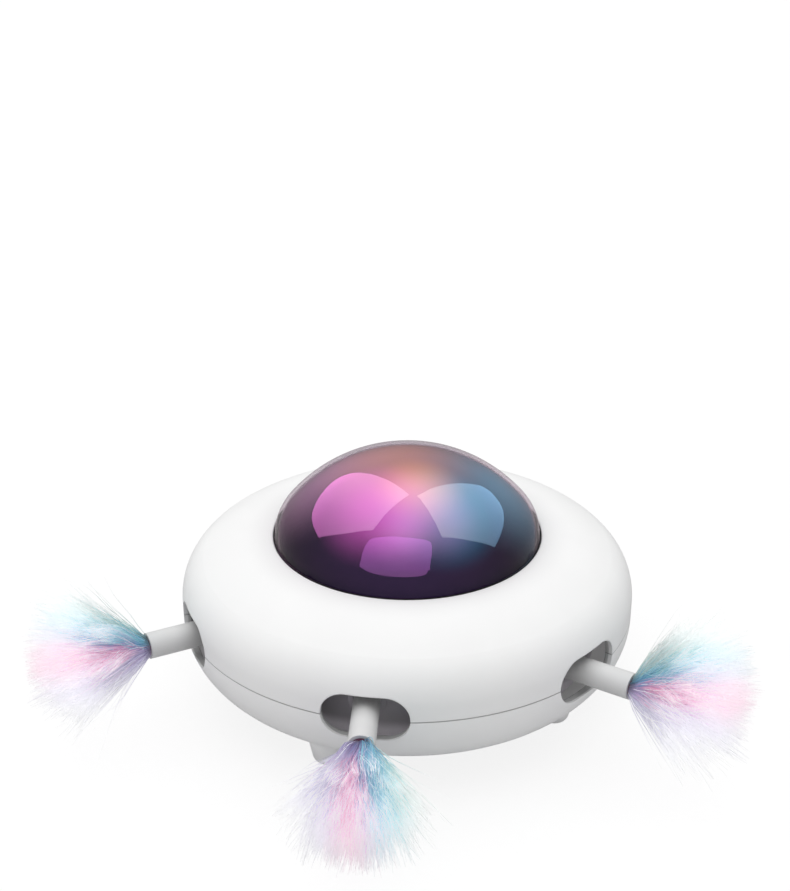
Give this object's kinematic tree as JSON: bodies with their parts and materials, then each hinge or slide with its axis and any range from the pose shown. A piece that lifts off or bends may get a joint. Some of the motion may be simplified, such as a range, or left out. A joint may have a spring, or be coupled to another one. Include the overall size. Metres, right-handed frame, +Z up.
{
  "type": "rotating feather cat toy",
  "caption": "Saucer-shaped cat toy with a lit smoky dome; a geared turntable inside swings feather-tipped wands to and fro in slots round the body.",
  "frame": {"origin": "on the floor, below the body's upright axis", "axes": "+Z up; -Y towards the front wand; +X to the right seen from the front"},
  "size_m": [0.273, 0.2405, 0.102],
  "materials": {
    "shell_white": "satin white moulded plastic",
    "dome_smoke": "smoky clear plastic, lit from inside",
    "seal_rubber": "black",
    "diffuser_milk": "milky",
    "tray_white": "matt white",
    "board_green": "lacquered board",
    "lamp_clear": "clear lamp bodies",
    "steel": "plain steel",
    "turntable_grey": "dark grey moulded plastic",
    "gear_ivory": "ivory acetal",
    "bush_brass": "plain brass",
    "bracket_blue": "blue-grey moulded plastic",
    "cell_wrap": "shrink sleeve",
    "switch_black": "black",
    "button_grey": "light grey",
    "pad_rubber": "grey rubber",
    "cable_grey": "grey sleeve",
    "tube_white": "white plastic tube",
    "plug_thread": "bound and glued feather stems",
    "feather_soft": "soft dyed plumes, blue, pink and violet"
  },
  "bodies": {
    "housing": {"upper_shell": "shell_white", "lower_shell": "shell_white", "dome": "dome_smoke", "dome_seal": "seal_rubber", "light_diffuser": "diffuser_milk", "light_tray": "tray_white", "led_board": "board_green", "leds": "lamp_clear", "tray_screws": "steel", "spindle": "steel", "thrust_washer": "bush_brass", "retaining_clip": "steel", "idler_axle": "steel", "motor": "steel", "drive_bracket": "bracket_blue", "bracket_screws": "steel", "motor_screws": "steel", "battery_cell": "cell_wrap", "battery_clamp": "tray_white", "clamp_screws": "steel", "control_board": "board_green", "usb_port": "steel", "tact_switch": "switch_black", "board_screws": "steel", "foot_pads": "pad_rubber", "housing_screws": "steel", "led_cable": "cable_grey"},
    "turntable": {"turntable": "turntable_grey", "turntable_gear": "gear_ivory", "hub_bush": "bush_brass"},
    "wand_left": {"wand_tube_left": "tube_white", "feather_plug_left": "plug_thread", "feather_left": "feather_soft"},
    "wand_front": {"wand_tube_front": "tube_white", "feather_plug_front": "plug_thread", "feather_front": "feather_soft"},
    "wand_right": {"wand_tube_right": "tube_white", "feather_plug_right": "plug_thread", "feather_right": "feather_soft"},
    "idler": {"idler_gear": "gear_ivory"},
    "pinion": {"motor_shaft": "steel", "motor_pinion": "gear_ivory"},
    "button": {"power_button": "button_grey"}
  },
  "joints": [
    {"name": "turntable_swing", "type": "hinge", "parent": "housing", "child": "turntable", "pos_m": [0, 0, 0.0398], "axis": [0, 0, 1], "range_deg": [-7, 7]},
    {"name": "idler_spin", "type": "hinge", "parent": "housing", "child": "idler", "pos_m": [0.015, 0.02598, 0.0426], "axis": [0, 0, 1], "range_deg": [-28.5, 28.5]},
    {"name": "pinion_spin", "type": "hinge", "parent": "housing", "child": "pinion", "pos_m": [-0.00885, 0.0287, 0.0425], "axis": [0, 0, 1], "range_deg": [-84.5, 84.5]},
    {"name": "wand_left_pull", "type": "slide", "parent": "turntable", "child": "wand_left", "axis": [-0.7986, -0.6018, 0], "range_m": [0, 0.022]},
    {"name": "wand_front_pull", "type": "slide", "parent": "turntable", "child": "wand_front", "axis": [0.1219, -0.9925, 0], "range_m": [0, 0.022]},
    {"name": "wand_right_pull", "type": "slide", "parent": "turntable", "child": "wand_right", "axis": [0.9205, -0.3907, 0], "range_m": [0, 0.022]},
    {"name": "button_press", "type": "slide", "parent": "housing", "child": "button", "axis": [0, 0, 1], "range_m": [0, 0.0008], "stiffness_N_per_m": 500, "springref_m": -0.001}
  ],
  "couplings": [
    {"joint": "idler_spin", "follows": "turntable_swing", "ratio": -4},
    {"joint": "pinion_spin", "follows": "turntable_swing", "ratio": 12}
  ]
}
